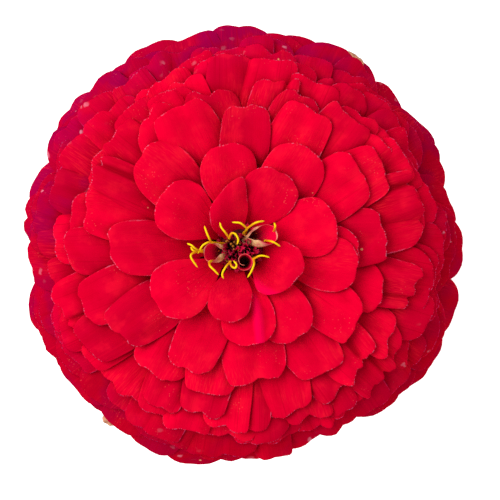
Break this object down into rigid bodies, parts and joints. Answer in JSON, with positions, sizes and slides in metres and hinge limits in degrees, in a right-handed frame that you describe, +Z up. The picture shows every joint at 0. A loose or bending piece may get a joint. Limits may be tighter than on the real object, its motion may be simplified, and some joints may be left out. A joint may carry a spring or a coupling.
{
  "type": "potted zinnia",
  "caption": "Zinnia in a plain clay pot: one fully double scarlet bloom with forked yellow styles on a leafy upright stem, standing on its foot.",
  "frame": {"origin": "centre of the pot's foot, on the surface that it stands on", "axes": "+Z up, along the pot's axis and the stem; +X and +Y level, and as the plant is round neither is a front"},
  "size_m": [0.1104, 0.1117, 0.2171],
  "materials": {
    "terracotta": "matte",
    "compost": "matte",
    "foliage": "satin",
    "petals": "matte",
    "disc": "matte",
    "styles": "matte"
  },
  "bodies": {
    "root": {"pot": "terracotta", "soil": "compost", "leafy_stem": "foliage", "bloom_rays": "petals", "disc_heart": "disc", "yellow_styles": "styles"}
  },
  "joints": []
}
